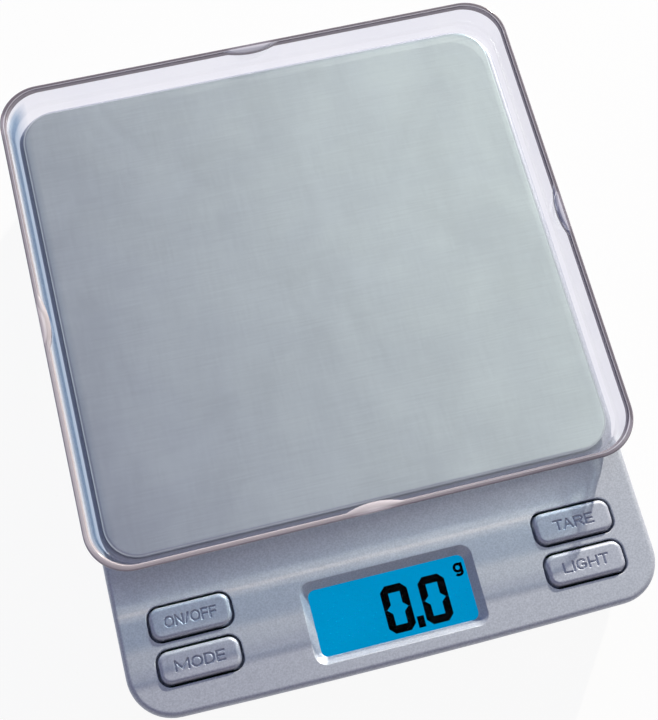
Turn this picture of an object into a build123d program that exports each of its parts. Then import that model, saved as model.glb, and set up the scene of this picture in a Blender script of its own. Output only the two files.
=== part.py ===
from build123d import *
import os

os.makedirs("parts", exist_ok=True)

# Table-top digital gram scale: a flat two-shell housing with a display and four keys in front,
# a steel weighing plate on a load cell behind them, and a clear tray standing on the plate.
# Millimetres. +X is to the right of the person reading the display, +Y is away from them, +Z is up.
# Heights are counted from the table, and "setback" is a distance behind the housing's front edge.

# ---- tray (the clear cover, standing open side up) ----
tray_overhang = 2.75        # rim beyond the housing at each side
tray_back_overhang = 2.6    # rim beyond the housing at the back
tray_height = 9.1
tray_setback = 37.4
tray_corner = 12.0
tray_flare = 2.2            # how far each wall leans out between floor and rim
tray_wall = 1.5
tray_floor = 1.6
tray_round = 1.2            # along the foot of the walls, outside and inside
grip_depth = 1.4            # finger recess in the middle of each side
grip_chord = 15.4
grip_rim = 1.4              # height of the rim left standing over a finger recess

# ---- housing ----
body_width = 146.0
body_length = 179.2
body_corner = 12.5
front_bow = 0.9
base_drawn_in = 2.4         # the side walls lean in by this much between deck and base
foot_height = 2.0
lower_height = 11.0
wall = 2.2
floor_thickness = 2.0
deck_thickness = 2.4
deck_round = 1.5
opening_round = 0.3         # along the deck's edge at the keys and the display
base_round = 2.0
lip_thickness = 1.0         # tongue of the lower shell inside the upper one
lip_height = 1.5
seat_gap = 0.1              # clearance between parts that locate one another

# ---- steel plate and its carrier ----
plate_margin = 2.2          # plate edge to the housing's side
plate_inset = 4.7           # plate edge to the tray's rim, in front and behind
plate_corner = 9.5
plate_rise = 2.4            # top of the plate above the deck
plate_sheet = 0.8
plate_skirt = 1.5
plate_round = 0.9
pad_thickness = 0.8
pad_radius = 6.0
pad_inset = 12.0
carrier_sheet = 1.4
carrier_rib = 1.4
carrier_floor_gap = 1.2     # carrier's ribs to the floor of the well
carrier_gap = 1.2           # carrier edge to the well's wall
well_inset = 3.85           # plate edge to the well's edge
well_skin = 2.0
well_head_gap = 0.8         # screw heads on the bracket to the underside of the well
leg_inset = 8.0             # leg to the bracket's edges
leg_radius = 5.0
leg_play = 1.2              # leg to the edge of its hole in the well

# ---- load cell ----
cell_beam_length = 75.0
cell_beam_width = 12.7
cell_beam_height = 10.0
flexure_radius = 4.0
flexure_spread = 16.0
flexure_slot = 3.0
beam_bolt_inset = 5.0
beam_bolt_pitch = 10.0
pedestal_height = 2.0
spacer_length = 22.0
base_spacer_height = 1.0
top_spacer_height = 1.2
bracket_width = 92.0
bracket_length = 72.0
bracket_sheet = 2.0
bracket_corner = 7.0
bracket_window_width = 50.0
bracket_window_length = 16.0
bracket_window_shift = 18.0
bracket_window_corner = 3.0
stop_inset = 8.0
stop_y = 15.0
stop_radius = 1.5
stop_boss_radius = 3.5
stop_boss_height = 8.0
stop_gap = 0.45             # set screw to bracket, a little over the plate's travel
gauge_length = 6.0
gauge_width = 4.0
gauge_thickness = 0.3
terminal_width = 7.0
terminal_height = 4.0
terminal_thickness = 0.8
terminal_lift = 0.5
screw_grip = 0.8            # share of a tapped hole that its screw fills

# ---- fasteners ----
m3_radius = 1.5
m3_head_radius = 2.75
m3_head_height = 2.0
m3_clearance = 0.2
case_screw_radius = 1.4
case_head_radius = 2.6
case_head_height = 1.8
case_screw_length = 15.0
case_screw_side = 9.0       # from the housing's side, behind the display
case_screw_setbacks = [19.0, 85.0]
case_screw_back = 29.2      # last pair, from the housing's back
case_post_radius = 3.8
case_boss_radius = 3.4
case_recess_depth = 3.0
case_recess_gap = 0.4
pilot_gap = 0.05
post_gap = 0.1
board_screw_radius = 1.0
board_head_radius = 1.9
board_head_height = 1.4
board_screw_length = 6.0
board_boss_radius = 2.6
board_screw_side = 11.0     # corner pair, from the housing's side
board_screw_edge = 3.0      # from the board's front and rear edges
board_screw_inset = 4.5     # middle pair, from the board's rear edge

# ---- keys ----
key_width = 21.6
key_length = 8.55
key_corner = 2.8
key_gap = 0.7
key_side = 19.75            # key's middle to the housing's side
key_setback = 12.45
key_pitch = 11.65
key_proud = 0.9
key_round = 0.8
key_travel = 0.6
key_wall = 1.2
key_flange_reach = 1.5
key_flange_height = 1.0
key_flange_gap = 0.05
stem_radius = 2.0
switch_size = 6.0
switch_height = 3.5
plunger_radius = 1.75
plunger_reach = 0.9
plunger_depth = 1.3
plunger_fit = 0.08

# ---- display ----
display_setback = 14.45
window_width = 43.6
window_length = 18.0
window_corner = 2.0
recess_border = 2.1
recess_corner = 3.2
lens_margin = 1.6
lens_thickness = 1.0
glass_thickness = 1.8
backlight_thickness = 3.8
backlight_margin = 0.7
connector_width = 1.4
frame_wall = 1.6
led_width = 1.2
led_length = 3.0
led_height = 1.6

# ---- main board ----
board_side_gap = 4.8        # board to the housing's side wall
board_rear_margin = 7.125   # board's rear edge behind the keys
board_corner = 6.0
board_thickness = 1.6
board_setback = 3.5
header_length = 4.0
header_height = 4.5
header_inset = 0.3
header_wire_height = 2.2
signal_header_reach = 10.5  # from the end of the load cell
signal_header_width = 8.0
power_header_width = 5.5
processor_size = 10.0
processor_height = 1.4
processor_x = 8.0
amplifier_width = 5.0
amplifier_length = 4.4
amplifier_height = 1.5
amplifier_inset = 5.0
capacitor_width = 2.0
capacitor_length = 1.25
capacitor_height = 1.0
capacitor_count = 5
resistor_width = 1.6
resistor_length = 0.8
resistor_height = 0.6
resistor_count = 4
component_pitch = 4.0
component_shift = 9.0
crystal_width = 8.0
crystal_length = 3.2
crystal_height = 1.6
crystal_x = -6.0
component_room = 2.1        # roof of the battery bay to the board

# ---- batteries ----
cell_radius = 5.25
cell_length = 44.5
cell_pitch = 11.0
cell_count = 4
nub_radius = 1.9
nub_height = 0.8
contact_sheet = 0.4
contact_width = 9.0
contact_height = 9.0
spring_length = 5.7
spring_wire = 0.7
spring_radius = 3.6
spring_turns = 3.5
bay_setback = 10.0
bay_wall = 2.0
bay_roof = 1.2
bay_clearance = 0.2
tab_width = 2.4
tab_reach = 2.0
door_gap = 0.3
door_sheet = 1.6
door_sink = 0.2
door_pad_sheet = 1.4
door_pad_margin = 5.0
door_latch_width = 8.0
door_latch_height = 1.4
door_latch_sheet = 1.0
door_latch_setback = 1.2
hinge_radius = 1.5
hinge_pin_radius = 1.0
hinge_pin_reach = 1.4
hinge_fit = 0.06
scoop_width = 12.0
scoop_length = 5.0
scoop_depth = 1.0

# ---- feet and wires ----
foot_radius = 6.0
foot_recess = 0.6
foot_inset = 15.0           # from the housing's sides, front and back
wire_radius = 0.5
wire_pitch = 1.3
wire_count = 4
power_wire_radius = 0.6
power_wire_pitch = 2.5
wire_bend = 2.4
guide_wall = 1.2
guide_length = 36.0
guide_height = 2.5

# ---- places worked out from the sizes above ----
tray_width = body_width + 2 * tray_overhang
tray_length = body_length - tray_setback + tray_back_overhang
overall_length = front_bow + tray_setback + tray_length
front_y = front_bow - overall_length / 2
back_y = front_y + body_length
tray_y = front_y + tray_setback + tray_length / 2

base_z = foot_height
floor_z = base_z + floor_thickness
parting_z = base_z + lower_height

bay_width = cell_count * cell_pitch
bay_length = 2 * contact_sheet + cell_length + spring_length
bay_front_y = front_y + bay_setback
bay_rear_y = bay_front_y + bay_length
bay_y = (bay_front_y + bay_rear_y) / 2
hinge_y = bay_rear_y - door_gap - hinge_radius
hinge_z = base_z + door_sink + hinge_radius
door_top_z = base_z + door_sink + door_sheet
cell_z = hinge_z + hinge_radius + bay_clearance + cell_radius
bay_roof_z = cell_z + cell_radius + bay_clearance
bay_top_z = bay_roof_z + bay_roof
cell_places = [(cell - (cell_count - 1) / 2) * cell_pitch for cell in range(cell_count)]

board_z = bay_top_z + component_room
board_top_z = board_z + board_thickness
glass_z = board_top_z + backlight_thickness
lens_z = glass_z + glass_thickness
deck_under_z = lens_z + lens_thickness
deck_z = deck_under_z + deck_thickness
plate_z = deck_z + plate_rise
rim_z = plate_z + tray_height

pedestal_z = floor_z + pedestal_height
beam_z = pedestal_z + base_spacer_height
beam_top_z = beam_z + cell_beam_height
bracket_z = beam_top_z + top_spacer_height
bracket_top_z = bracket_z + bracket_sheet
fixed_bolts = [beam_bolt_inset - cell_beam_length / 2 + step * beam_bolt_pitch for step in range(2)]
free_bolts = [-x for x in fixed_bolts]
spacer_shift = (cell_beam_length - spacer_length) / 2
beam_bolt_depth = 0.6 * cell_beam_height

plate_width = body_width - 2 * plate_margin
plate_length = tray_length - 2 * plate_inset
well_width = plate_width - 2 * well_inset
well_length = plate_length - 2 * well_inset
well_corner = plate_corner
well_under_z = bracket_top_z + m3_head_height + well_head_gap
well_floor_z = well_under_z + well_skin
pan_width = well_width + 2 * well_skin
pan_length = well_length + 2 * well_skin
pan_front_y = tray_y - pan_length / 2

plate_under_z = plate_z - plate_sheet
carrier_top_z = plate_under_z - pad_thickness
carrier_sheet_z = carrier_top_z - carrier_sheet
carrier_z = well_floor_z + carrier_floor_gap
carrier_width = well_width - 2 * carrier_gap
carrier_length = well_length - 2 * carrier_gap
leg_seat_z = bracket_top_z + 2 * m3_head_height

key_x = body_width / 2 - key_side
key_places = {
    "mode": (-key_x, front_y + key_setback),
    "on_off": (-key_x, front_y + key_setback + key_pitch),
    "light": (key_x, front_y + key_setback),
    "tare": (key_x, front_y + key_setback + key_pitch),
}
key_flange_width = key_width + 2 * (key_gap + key_flange_reach)
key_flange_z = deck_under_z - key_flange_gap - key_flange_height
switch_top_z = board_top_z + switch_height
plunger_top_z = switch_top_z + plunger_reach

display_y = front_y + display_setback
lens_width = window_width + 2 * lens_margin
lens_length = window_length + 2 * lens_margin
frame_half = lens_width / 2 + seat_gap + frame_wall

board_width = body_width - 2 * (wall + board_side_gap)
board_front_y = front_y + board_setback
board_rear_y = front_y + key_setback + key_pitch + key_length / 2 + board_rear_margin
board_length = board_rear_y - board_front_y
board_y = (board_front_y + board_rear_y) / 2
signal_header_x = cell_beam_length / 2 + signal_header_reach

between_x = (frame_half + key_x - key_flange_width / 2) / 2     # screws between the display and the keys
case_rows = [
    (between_x, front_y + case_screw_setbacks[0]),
    (body_width / 2 - case_screw_side, front_y + case_screw_setbacks[1]),
    (body_width / 2 - case_screw_side, back_y - case_screw_back),
]
board_rows = [
    (between_x, board_front_y + board_screw_edge),
    (between_x, board_rear_y - board_screw_inset),
    (body_width / 2 - board_screw_side, board_rear_y - board_screw_edge),
]
case_places = [(side * x, y) for x, y in case_rows for side in (-1, 1)]
board_screw_places = [(side * x, y) for x, y in board_rows for side in (-1, 1)]
case_post_top_z = parting_z + post_gap
foot_x = body_width / 2 - foot_inset
foot_places = [(side * foot_x, y) for y in (front_y + foot_inset, back_y - foot_inset) for side in (-1, 1)]
leg_x = bracket_width / 2 - leg_inset
leg_y = bracket_length / 2 - leg_inset
leg_places = [(x * leg_x, tray_y + y * leg_y) for x in (-1, 1) for y in (-1, 1)]
stop_x = bracket_width / 2 - stop_inset
stop_places = [(x * stop_x, tray_y + y * stop_y) for x in (-1, 1) for y in (-1, 1)]

wire_rise_z = board_top_z + header_wire_height
wire_drop_y = (board_rear_y + pan_front_y) / 2
wire_floor_z = floor_z + wire_radius + seat_gap
terminal_z = beam_z + terminal_height / 2 + terminal_lift


# ---- shapes used more than once ----

def slab(width, length, low, high, x=0.0, y=0.0, corner=0.0):
    """An upright block, round-cornered in plan, between two heights."""
    plan = RectangleRounded(width, length, corner) if corner else Rectangle(width, length)
    return extrude(Pos(x, y, low) * plan, high - low)


def disc(radius, low, high, x=0.0, y=0.0):
    """An upright cylinder between two heights."""
    return extrude(Pos(x, y, low) * Circle(radius), high - low)


def cross_rod(radius, left, right, y, z):
    """A cylinder along X."""
    return extrude(Pos(left, y, z) * Rot(0, 90, 0) * Circle(radius), right - left)


def flared_block(width, length, corner, flare, low, high):
    """A round-cornered block that is wider at the top; width and length are those of the top."""
    bottom = Pos(0, 0, low) * RectangleRounded(width - 2 * flare, length - 2 * flare, corner - flare / 2)
    top = Pos(0, 0, high) * RectangleRounded(width, length, corner)
    return loft([bottom.face(), top.face()])


def housing_plan(inset, z):
    """The housing's outline seen from above, drawn in by an inset, at a height."""
    half = body_width / 2
    sides = Polyline((half, front_y), (half, back_y), (-half, back_y), (-half, front_y))
    front = ThreePointArc((-half, front_y), (0, front_y - front_bow), (half, front_y))
    plan = make_face(sides + front)
    plan = fillet(plan.vertices(), body_corner)
    if inset:
        plan = offset(plan, -inset)
    return Pos(0, 0, z) * plan


def drawn_in(z):
    """How far the leaning side walls stand inside the housing's outline at a height. The outline is
    where the deck's round is widest, so at the deck itself the walls' lines run a little outside it."""
    slope = base_drawn_in / (deck_z - base_z)
    outside = deck_round * (slope + (1 + slope ** 2) ** 0.5 - 1)
    return slope * (deck_z - z) - outside


def housing_block(inset, low, high):
    """The housing between two heights with its leaning sides, drawn in all round by an inset."""
    bottom = housing_plan(inset + drawn_in(low), low)
    top = housing_plan(inset + drawn_in(high), high)
    return loft([bottom.face(), top.face()])


def top_edges(part):
    """The edges that lie in a part's highest plane."""
    return part.edges().group_by(Axis.Z)[-1]


def bottom_edges(part):
    """The edges that lie in a part's lowest plane."""
    return part.edges().group_by(Axis.Z)[0]


def opening_edges(part, width, length, x, y):
    """The edges that lie in a part's highest plane, round an opening of that size."""
    margin = seat_gap
    edges = top_edges(part).filter_by_position(Axis.X, x - width / 2 - margin, x + width / 2 + margin)
    return edges.filter_by_position(Axis.Y, y - length / 2 - margin, y + length / 2 + margin)


def pan_screw(shaft_radius, head_radius, head_height, seat_z, length, x, y, up=True):
    """A screw with its head seated at a height and its shaft going up or down from there."""
    way = 1 if up else -1
    shaft_ends = sorted((seat_z, seat_z + way * length))
    head_ends = sorted((seat_z, seat_z - way * head_height))
    shaft = disc(shaft_radius, shaft_ends[0], shaft_ends[1], x, y)
    head = disc(head_radius, head_ends[0], head_ends[1], x, y)
    return shaft + head


def group(solids):
    """Separate solids kept together as one node."""
    return Compound(children=[item.solid() for item in solids])


# ---- housing ----

def display_recess():
    """The sloped well around the display window, cut through the deck."""
    low = Pos(0, display_y, deck_under_z) * RectangleRounded(window_width, window_length, window_corner)
    wide = window_width + 2 * recess_border
    deep = window_length + 2 * recess_border
    high = Pos(0, display_y, deck_z) * RectangleRounded(wide, deep, recess_corner)
    return loft([low.face(), high.face()])


def upper_housing():
    shell = fillet(top_edges(housing_block(0, parting_z, deck_z)), deck_round)
    shell -= housing_block(wall, parting_z, deck_under_z)
    groove = wall - lip_thickness - seat_gap + drawn_in(parting_z)
    shell -= extrude(housing_plan(groove, parting_z), lip_height + seat_gap)
    shell += slab(pan_width, pan_length, well_under_z, deck_under_z, 0, tray_y, well_corner + well_skin)
    shell -= slab(well_width, well_length, well_floor_z, deck_z, 0, tray_y, well_corner)
    for x, y in leg_places:
        shell -= disc(leg_radius + leg_play, well_under_z, well_floor_z, x, y)
    for x, y in case_places:
        under_well = abs(y - tray_y) < pan_length / 2
        top = well_under_z if under_well else deck_under_z
        shell += disc(case_boss_radius, case_post_top_z + post_gap, top, x, y)
        shell -= disc(case_screw_radius + pilot_gap, case_post_top_z, top - pilot_gap - seat_gap, x, y)
    for x, y in board_screw_places:
        shell += disc(board_boss_radius, board_top_z, deck_under_z, x, y)
        shell -= disc(board_screw_radius + pilot_gap, board_top_z, deck_under_z - seat_gap, x, y)
    for x, y in key_places.values():
        opening_width = key_width + 2 * key_gap
        opening_length = key_length + 2 * key_gap
        shell -= slab(opening_width, opening_length, deck_under_z, deck_z, x, y, key_corner + key_gap)
        shell = fillet(opening_edges(shell, opening_width, opening_length, x, y), opening_round)
    shell -= display_recess()
    recess_width = window_width + 2 * recess_border
    recess_length = window_length + 2 * recess_border
    return fillet(opening_edges(shell, recess_width, recess_length, 0, display_y), opening_round)


def battery_bay():
    """Walls and roof over the cells, standing on the floor of the lower shell."""
    width = bay_width + 2 * bay_wall
    length = bay_length + 2 * bay_wall
    return slab(width, length, floor_z, bay_top_z, 0, bay_y)


def wire_guides():
    """Two low ribs that keep the signal wires in line on the floor."""
    ribbon = (wire_count - 1) * wire_pitch + 2 * wire_radius
    reach = ribbon / 2 + seat_gap + guide_wall / 2
    middle_y = (wire_drop_y + tray_y) / 2
    top = floor_z + guide_height
    ribs = [slab(guide_wall, guide_length, floor_z, top, side * reach - signal_header_x, middle_y)
            for side in (-1, 1)]
    return ribs[0] + ribs[1]


def lower_housing():
    shell = fillet(bottom_edges(housing_block(0, base_z, parting_z)), base_round)
    shell -= housing_block(wall, floor_z, parting_z)
    lip_inset = wall + drawn_in(parting_z)
    lip = extrude(housing_plan(lip_inset - lip_thickness, parting_z - lip_height), 2 * lip_height)
    lip -= extrude(housing_plan(lip_inset, parting_z - lip_height), 2 * lip_height)
    shell += lip
    for x, y in case_places:
        shell += disc(case_post_radius, floor_z, case_post_top_z, x, y)
    for x, y in stop_places:
        shell += disc(stop_boss_radius, floor_z, floor_z + stop_boss_height, x, y)
    shell += slab(spacer_length, cell_beam_width + 2 * wall, floor_z, pedestal_z, -spacer_shift, tray_y, wall)
    shell += battery_bay()
    shell += wire_guides()
    shell -= slab(bay_width, bay_length, base_z, bay_roof_z, 0, bay_y)
    for x in (cell_places[0], cell_places[-1]):
        slot_y = bay_rear_y - contact_sheet / 2
        shell -= slab(tab_width + 2 * seat_gap, contact_sheet, bay_roof_z, bay_top_z, x, slot_y)
    pin_room = hinge_pin_reach + bay_clearance
    pin_half = bay_width / 2 + pin_room
    shell -= cross_rod(hinge_pin_radius + hinge_fit, -pin_half, pin_half, hinge_y, hinge_z)
    shell -= slab(scoop_width, scoop_length, base_z, base_z + scoop_depth, 0, bay_front_y - scoop_length / 2)
    for x, y in case_places:
        seat_z = base_z + case_recess_depth
        shell -= disc(case_head_radius + case_recess_gap, base_z, seat_z, x, y)
        shell -= disc(case_screw_radius + m3_clearance, seat_z, case_post_top_z, x, y)
    for x, y in stop_places:
        shell -= disc(stop_radius + pilot_gap, floor_z, floor_z + stop_boss_height, x, y)
    bolt_seat_z = base_z + m3_head_height + m3_clearance
    for x in fixed_bolts:
        shell -= disc(m3_head_radius + m3_clearance, base_z, bolt_seat_z, x, tray_y)
        shell -= disc(m3_radius + m3_clearance, base_z, pedestal_z, x, tray_y)
    for x, y in foot_places:
        shell -= disc(foot_radius, base_z, base_z + foot_recess, x, y)
    return shell


def housing_screws():
    seat_z = base_z + case_recess_depth
    return group([pan_screw(case_screw_radius, case_head_radius, case_head_height, seat_z,
                            case_screw_length, x, y) for x, y in case_places])


def rubber_feet():
    return group([disc(foot_radius, 0, base_z + foot_recess, x, y) for x, y in foot_places])


# ---- display ----

def display_lens():
    return slab(lens_width, lens_length, lens_z, deck_under_z, 0, display_y, window_corner)


def lcd_glass():
    return slab(lens_width, lens_length, glass_z, lens_z, 0, display_y)


def backlight_size():
    """Width and length of the light guide, which lies between the two rubber connectors."""
    width = lens_width - 2 * (led_width + backlight_margin)
    length = lens_length - 2 * (connector_width + backlight_margin)
    return width, length


def lcd_backlight():
    width, length = backlight_size()
    return slab(width, length, board_top_z, glass_z, 0, display_y)


def elastomer_connectors():
    shift = (lens_length - connector_width) / 2
    width = backlight_size()[0]
    return group([slab(width, connector_width, board_top_z, glass_z, 0, display_y + side * shift)
                  for side in (-1, 1)])


def backlight_leds():
    shift = backlight_size()[0] / 2 + led_width / 2
    return group([slab(led_width, led_length, board_top_z, board_top_z + led_height, side * shift, display_y)
                  for side in (-1, 1)])


def lcd_frame():
    inside_width = lens_width + 2 * seat_gap
    inside_length = lens_length + 2 * seat_gap
    outside = slab(2 * frame_half, inside_length + 2 * frame_wall, board_top_z,
                   deck_under_z - seat_gap, 0, display_y, frame_wall)
    return outside - slab(inside_width, inside_length, board_top_z, deck_under_z, 0, display_y)


# ---- main board ----

def main_board():
    board = slab(board_width, board_length, board_z, board_top_z, 0, board_y, board_corner)
    for x, y in board_screw_places:
        board -= disc(board_screw_radius + pilot_gap, board_z, board_top_z, x, y)
    for x, y in case_places:
        board -= disc(case_boss_radius + m3_clearance, board_z, board_top_z, x, y)
    return board


def board_screws():
    return group([pan_screw(board_screw_radius, board_head_radius, board_head_height, board_z,
                            board_screw_length, x, y) for x, y in board_screw_places])


def under_board(width, length, height, x, y, corner=0.0):
    """A part soldered to the underside of the board."""
    return slab(width, length, board_z - height, board_z, x, y, corner)


def processor_chip():
    return under_board(processor_size, processor_size, processor_height, processor_x, board_y)


def amplifier_chip():
    return under_board(amplifier_width, amplifier_length, amplifier_height, -signal_header_x,
                       board_rear_y - amplifier_inset)


def board_components():
    """Small capacitors, resistors and the clock crystal on the underside of the board."""
    pieces = []
    for step in range(capacitor_count):
        x = (step - (capacitor_count - 1) / 2) * component_pitch
        y = board_y - component_shift
        pieces.append(under_board(capacitor_width, capacitor_length, capacitor_height, x, y))
    for step in range(resistor_count):
        x = (step - (resistor_count - 1) / 2) * component_pitch - signal_header_x
        y = board_rear_y - 2 * amplifier_inset
        pieces.append(under_board(resistor_width, resistor_length, resistor_height, x, y))
    can_corner = 0.45 * crystal_length
    pieces.append(under_board(crystal_width, crystal_length, crystal_height, crystal_x, board_y, can_corner))
    return group(pieces)


def wire_headers():
    y = board_rear_y - header_inset - header_length / 2
    top = board_top_z + header_height
    signal = slab(signal_header_width, header_length, board_top_z, top, -signal_header_x, y)
    power = slab(power_header_width, header_length, board_top_z, top, 0, y)
    return group([signal, power])


def tact_switches():
    pieces = []
    for x, y in key_places.values():
        body = slab(switch_size, switch_size, board_top_z, switch_top_z, x, y)
        bore_z = switch_top_z - plunger_depth - key_travel - plunger_fit
        pieces.append(body - disc(plunger_radius + plunger_fit, bore_z, switch_top_z, x, y))
    return group(pieces)


def switch_plunger(x, y):
    return disc(plunger_radius, switch_top_z - plunger_depth, plunger_top_z, x, y)


def key_cap(x, y):
    """A hollow key with end flanges under the deck and a stem that rests on its switch."""
    top_z = deck_z + key_proud
    cap = slab(key_width, key_length, key_flange_z, top_z, x, y, key_corner)
    cap = fillet(top_edges(cap), key_round)
    cap += slab(key_flange_width, key_length, key_flange_z, key_flange_z + key_flange_height, x, y)
    inside_width = key_width - 2 * key_wall
    inside_length = key_length - 2 * key_wall
    cap -= slab(inside_width, inside_length, key_flange_z, top_z - key_wall, x, y, key_corner - key_wall)
    return cap + disc(stem_radius, plunger_top_z, top_z - key_wall, x, y)


# ---- batteries ----

def points_back(index):
    """Cells lie alternately: even ones have their positive end at the back."""
    return index % 2 == 0


def lying_cylinder(radius, near_y, far_y, x, z):
    """A cylinder along Y."""
    return extrude(Pos(x, near_y, z) * Rot(-90, 0, 0) * Circle(radius), far_y - near_y)


def battery_cells():
    cells = []
    for index, x in enumerate(cell_places):
        can = cell_length - nub_height
        if points_back(index):
            near = bay_rear_y - contact_sheet - cell_length
            body = lying_cylinder(cell_radius, near, near + can, x, cell_z)
            nub = lying_cylinder(nub_radius, near + can, near + cell_length, x, cell_z)
        else:
            near = bay_front_y + contact_sheet
            body = lying_cylinder(cell_radius, near + nub_height, near + cell_length, x, cell_z)
            nub = lying_cylinder(nub_radius, near, near + nub_height, x, cell_z)
        cells.append(body + nub)
    return group(cells)


def battery_springs():
    """Coil springs that press on the flat end of each cell."""
    springs = []
    height = spring_length - spring_wire
    pitch = height / spring_turns
    path = Helix(pitch, height, spring_radius)
    start = Plane(origin=path @ 0, z_dir=path % 0)
    coil = sweep(start * Circle(spring_wire / 2), path=path, is_frenet=True)
    front = bay_front_y + contact_sheet + spring_wire / 2
    back = bay_rear_y - contact_sheet - spring_wire / 2
    for index, x in enumerate(cell_places):
        y, turn = (front, -90) if points_back(index) else (back, 90)
        springs.append(Pos(x, y, cell_z) * Rot(turn, 0, 0) * coil)
    return group(springs)


def battery_contacts():
    """Sheet contacts at both ends: link plates join neighbours, end plates carry solder tabs."""
    low = cell_z - contact_height / 2
    high = cell_z + contact_height / 2
    front = bay_front_y + contact_sheet / 2
    back = bay_rear_y - contact_sheet / 2
    link = contact_width + cell_pitch
    plates = [slab(link, contact_sheet, low, high, side * cell_pitch, front) for side in (-1, 1)]
    plates.append(slab(link, contact_sheet, low, high, 0, back))
    for x in (cell_places[0], cell_places[-1]):
        end_plate = slab(contact_width, contact_sheet, low, high, x, back)
        plates.append(end_plate + slab(tab_width, contact_sheet, high, bay_top_z + tab_reach, x, back))
    return group(plates)


def battery_door():
    width = bay_width - 2 * door_gap
    near = bay_front_y + door_gap
    door = slab(width, hinge_y - near, base_z + door_sink, door_top_z, 0, (hinge_y + near) / 2)
    door += cross_rod(hinge_radius, -width / 2, width / 2, hinge_y, hinge_z)
    pin_half = bay_width / 2 + hinge_pin_reach
    door += cross_rod(hinge_pin_radius, -pin_half, pin_half, hinge_y, hinge_z)
    latch_y = bay_front_y + door_latch_setback + door_latch_sheet / 2
    latch_top = door_top_z + door_latch_height
    return door + slab(door_latch_width, door_latch_sheet, door_top_z, latch_top, 0, latch_y)


def battery_door_pad():
    width = bay_width - 2 * door_pad_margin
    length = bay_length - 4 * door_pad_margin
    return slab(width, length, door_top_z, door_top_z + door_pad_sheet, 0, bay_y)


# ---- load cell and platform ----

def load_cell():
    middle_z = (beam_z + beam_top_z) / 2
    beam = slab(cell_beam_length, cell_beam_width, beam_z, beam_top_z, 0, tray_y)
    near = tray_y - cell_beam_width / 2
    far = tray_y + cell_beam_width / 2
    for side in (-1, 1):
        beam -= lying_cylinder(flexure_radius, near, far, side * flexure_spread / 2, middle_z)
    slot_z = middle_z - flexure_slot / 2
    beam -= slab(flexure_spread, cell_beam_width, slot_z, slot_z + flexure_slot, 0, tray_y)
    for x in fixed_bolts:
        beam -= disc(m3_radius, beam_z, beam_z + beam_bolt_depth, x, tray_y)
    for x in free_bolts:
        beam -= disc(m3_radius, beam_top_z - beam_bolt_depth, beam_top_z, x, tray_y)
    return beam


def strain_gauges():
    gauges = []
    for side in (-1, 1):
        x = side * flexure_spread / 2
        gauges.append(slab(gauge_length, gauge_width, beam_top_z, beam_top_z + gauge_thickness, x, tray_y))
        gauges.append(slab(gauge_length, gauge_width, beam_z - gauge_thickness, beam_z, x, tray_y))
    return group(gauges)


def gauge_terminal():
    x = -(cell_beam_length + terminal_thickness) / 2
    low = terminal_z - terminal_height / 2
    return slab(terminal_thickness, terminal_width, low, low + terminal_height, x, tray_y)


def load_cell_spacers():
    under = slab(spacer_length, cell_beam_width, pedestal_z, beam_z, -spacer_shift, tray_y)
    over = slab(spacer_length, cell_beam_width, beam_top_z, bracket_z, spacer_shift, tray_y)
    for x in fixed_bolts:
        under -= disc(m3_radius + m3_clearance, pedestal_z, beam_z, x, tray_y)
    for x in free_bolts:
        over -= disc(m3_radius + m3_clearance, beam_top_z, bracket_z, x, tray_y)
    return under, over


def load_cell_spacer():
    return load_cell_spacers()[0]


def bracket_spacer():
    return load_cell_spacers()[1]


def load_cell_screws():
    seat_z = base_z + m3_head_height + m3_clearance
    length = beam_z + screw_grip * beam_bolt_depth - seat_z
    return group([pan_screw(m3_radius, m3_head_radius, m3_head_height, seat_z, length, x, tray_y)
                  for x in fixed_bolts])


def bracket_screws():
    length = bracket_top_z - beam_top_z + screw_grip * beam_bolt_depth
    return group([pan_screw(m3_radius, m3_head_radius, m3_head_height, bracket_top_z,
                            length, x, tray_y, up=False) for x in free_bolts])


def platform_bracket():
    """Plate on the free end of the load cell, which spreads under the whole platform."""
    bracket = slab(bracket_width, bracket_length, bracket_z, bracket_top_z, 0, tray_y, bracket_corner)
    for side in (-1, 1):
        y = tray_y + side * bracket_window_shift
        bracket -= slab(bracket_window_width, bracket_window_length, bracket_z, bracket_top_z,
                        0, y, bracket_window_corner)
    for x in free_bolts:
        bracket -= disc(m3_radius + m3_clearance, bracket_z, bracket_top_z, x, tray_y)
    for x, y in leg_places:
        bracket -= disc(m3_radius, bracket_z, bracket_top_z, x, y)
    return bracket


def overload_stops():
    top = bracket_z - stop_gap
    return group([disc(stop_radius, floor_z, top, x, y) for x, y in stop_places])


def platform_carrier():
    """Moulded plate with ribs under it and four legs that reach down to the bracket."""
    corner = well_corner - carrier_gap
    carrier = slab(carrier_width, carrier_length, carrier_z, carrier_top_z, 0, tray_y, corner)
    inside_width = carrier_width - 2 * carrier_rib
    inside_length = carrier_length - 2 * carrier_rib
    carrier -= slab(inside_width, inside_length, carrier_z, carrier_sheet_z, 0, tray_y, corner - carrier_rib)
    rib_width = carrier_width - carrier_rib
    rib_length = carrier_length - carrier_rib
    for side in (-1, 1):
        carrier += slab(carrier_rib, rib_length, carrier_z, carrier_sheet_z, side * leg_x, tray_y)
        carrier += slab(rib_width, carrier_rib, carrier_z, carrier_sheet_z, 0, tray_y + side * leg_y)
    for x, y in leg_places:
        carrier += disc(leg_radius, bracket_top_z, carrier_top_z, x, y)
    for x, y in leg_places:
        carrier -= disc(m3_head_radius + m3_clearance, leg_seat_z, carrier_top_z, x, y)
        carrier -= disc(m3_radius + m3_clearance, bracket_top_z, leg_seat_z, x, y)
    return carrier


def carrier_screws():
    length = leg_seat_z - bracket_z
    return group([pan_screw(m3_radius, m3_head_radius, m3_head_height, leg_seat_z,
                            length, x, y, up=False) for x, y in leg_places])


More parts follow.
